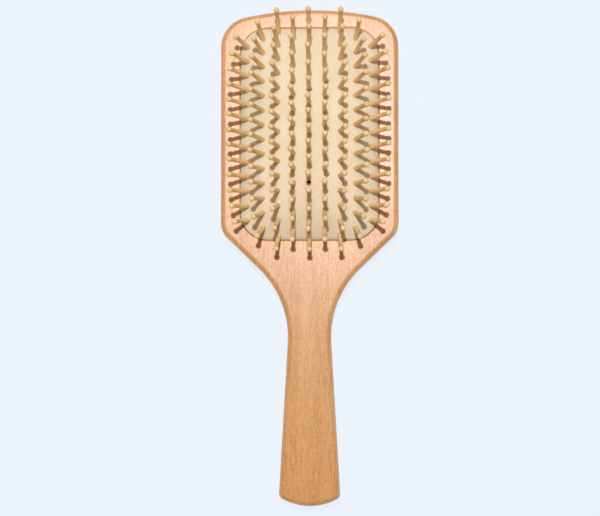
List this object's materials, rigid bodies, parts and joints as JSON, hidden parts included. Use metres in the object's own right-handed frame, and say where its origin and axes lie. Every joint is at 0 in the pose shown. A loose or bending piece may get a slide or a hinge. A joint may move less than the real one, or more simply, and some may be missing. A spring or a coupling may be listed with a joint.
{
  "type": "paddle brush",
  "caption": "Wooden paddle hair brush with a domed air-cushion rubber pad and ball-tipped wooden pins on a flared flat handle.",
  "frame": {"origin": "middle of the brush's length and width, on its flat back face", "axes": "+Y along the brush toward the top of the head, +Z out of the pin side, +X across the head"},
  "size_m": [0.0862, 0.24, 0.0389],
  "materials": {
    "beech": "satin",
    "rubber": "matte",
    "pin_wood": "satin"
  },
  "bodies": {
    "handle": {"wood_body": "beech"},
    "cushion": {"rubber_cushion": "rubber"},
    "pin_column_1": {"pins_col1_01_02": "pin_wood", "pins_col1_03_04": "pin_wood", "pins_col1_05_06": "pin_wood", "pins_col1_07_08": "pin_wood", "pins_col1_09_10": "pin_wood", "pins_col1_11_13": "pin_wood"},
    "pin_column_2": {"pins_col2_01_02": "pin_wood", "pins_col2_03_04": "pin_wood", "pins_col2_05_07": "pin_wood", "pins_col2_08_09": "pin_wood", "pins_col2_10_11": "pin_wood", "pins_col2_12_14": "pin_wood"},
    "pin_column_3": {"pins_col3_01_02": "pin_wood", "pins_col3_03_05": "pin_wood", "pins_col3_06_07": "pin_wood", "pins_col3_08_10": "pin_wood", "pins_col3_11_12": "pin_wood", "pins_col3_13_15": "pin_wood"},
    "pin_column_4": {"pins_col4_01_02": "pin_wood", "pins_col4_03_04": "pin_wood", "pins_col4_05_07": "pin_wood", "pins_col4_08_09": "pin_wood", "pins_col4_10_11": "pin_wood", "pins_col4_12_14": "pin_wood"},
    "pin_column_5": {"pins_col5_01_02": "pin_wood", "pins_col5_03_05": "pin_wood", "pins_col5_06_07": "pin_wood", "pins_col5_08_10": "pin_wood", "pins_col5_11_12": "pin_wood", "pins_col5_13_15": "pin_wood"},
    "pin_column_6": {"pins_col6_01_02": "pin_wood", "pins_col6_03_04": "pin_wood", "pins_col6_05_07": "pin_wood", "pins_col6_08_09": "pin_wood", "pins_col6_10_11": "pin_wood", "pins_col6_12_14": "pin_wood"},
    "pin_column_7": {"pins_col7_01_02": "pin_wood", "pins_col7_03_05": "pin_wood", "pins_col7_06_07": "pin_wood", "pins_col7_08_10": "pin_wood", "pins_col7_11_12": "pin_wood", "pins_col7_13_15": "pin_wood"},
    "pin_column_8": {"pins_col8_01_02": "pin_wood", "pins_col8_03_04": "pin_wood", "pins_col8_05_07": "pin_wood", "pins_col8_08_09": "pin_wood", "pins_col8_10_11": "pin_wood", "pins_col8_12_14": "pin_wood"},
    "pin_column_9": {"pins_col9_01_02": "pin_wood", "pins_col9_03_04": "pin_wood", "pins_col9_05_06": "pin_wood", "pins_col9_07_08": "pin_wood", "pins_col9_09_10": "pin_wood", "pins_col9_11_13": "pin_wood"}
  },
  "joints": [
    {"name": "cushion_press", "type": "slide", "parent": "handle", "child": "cushion", "axis": [0, 0, -1], "range_m": [0, 0.003], "stiffness_N_per_m": 2000, "deforming": ["rubber_cushion"]},
    {"name": "pin_column_1_tilt", "type": "hinge", "parent": "cushion", "child": "pin_column_1", "pos_m": [-0.0293, 0.0594, 0.0166], "axis": [0, 1, 0], "range_deg": [-12, 12], "stiffness_Nm_per_rad": 0.15},
    {"name": "pin_column_2_tilt", "type": "hinge", "parent": "cushion", "child": "pin_column_2", "pos_m": [-0.022, 0.0594, 0.0193], "axis": [0, 1, 0], "range_deg": [-12, 12], "stiffness_Nm_per_rad": 0.15},
    {"name": "pin_column_3_tilt", "type": "hinge", "parent": "cushion", "child": "pin_column_3", "pos_m": [-0.0147, 0.0594, 0.0204], "axis": [0, 1, 0], "range_deg": [-12, 12], "stiffness_Nm_per_rad": 0.15},
    {"name": "pin_column_4_tilt", "type": "hinge", "parent": "cushion", "child": "pin_column_4", "pos_m": [-0.0073, 0.0594, 0.0213], "axis": [0, 1, 0], "range_deg": [-12, 12], "stiffness_Nm_per_rad": 0.15},
    {"name": "pin_column_5_tilt", "type": "hinge", "parent": "cushion", "child": "pin_column_5", "pos_m": [0, 0.0594, 0.0209], "axis": [0, 1, 0], "range_deg": [-12, 12], "stiffness_Nm_per_rad": 0.15},
    {"name": "pin_column_6_tilt", "type": "hinge", "parent": "cushion", "child": "pin_column_6", "pos_m": [0.0073, 0.0594, 0.0213], "axis": [0, 1, 0], "range_deg": [-12, 12], "stiffness_Nm_per_rad": 0.15},
    {"name": "pin_column_7_tilt", "type": "hinge", "parent": "cushion", "child": "pin_column_7", "pos_m": [0.0147, 0.0594, 0.0204], "axis": [0, 1, 0], "range_deg": [-12, 12], "stiffness_Nm_per_rad": 0.15},
    {"name": "pin_column_8_tilt", "type": "hinge", "parent": "cushion", "child": "pin_column_8", "pos_m": [0.022, 0.0594, 0.0193], "axis": [0, 1, 0], "range_deg": [-12, 12], "stiffness_Nm_per_rad": 0.15},
    {"name": "pin_column_9_tilt", "type": "hinge", "parent": "cushion", "child": "pin_column_9", "pos_m": [0.0293, 0.0594, 0.0166], "axis": [0, 1, 0], "range_deg": [-12, 12], "stiffness_Nm_per_rad": 0.15}
  ]
}
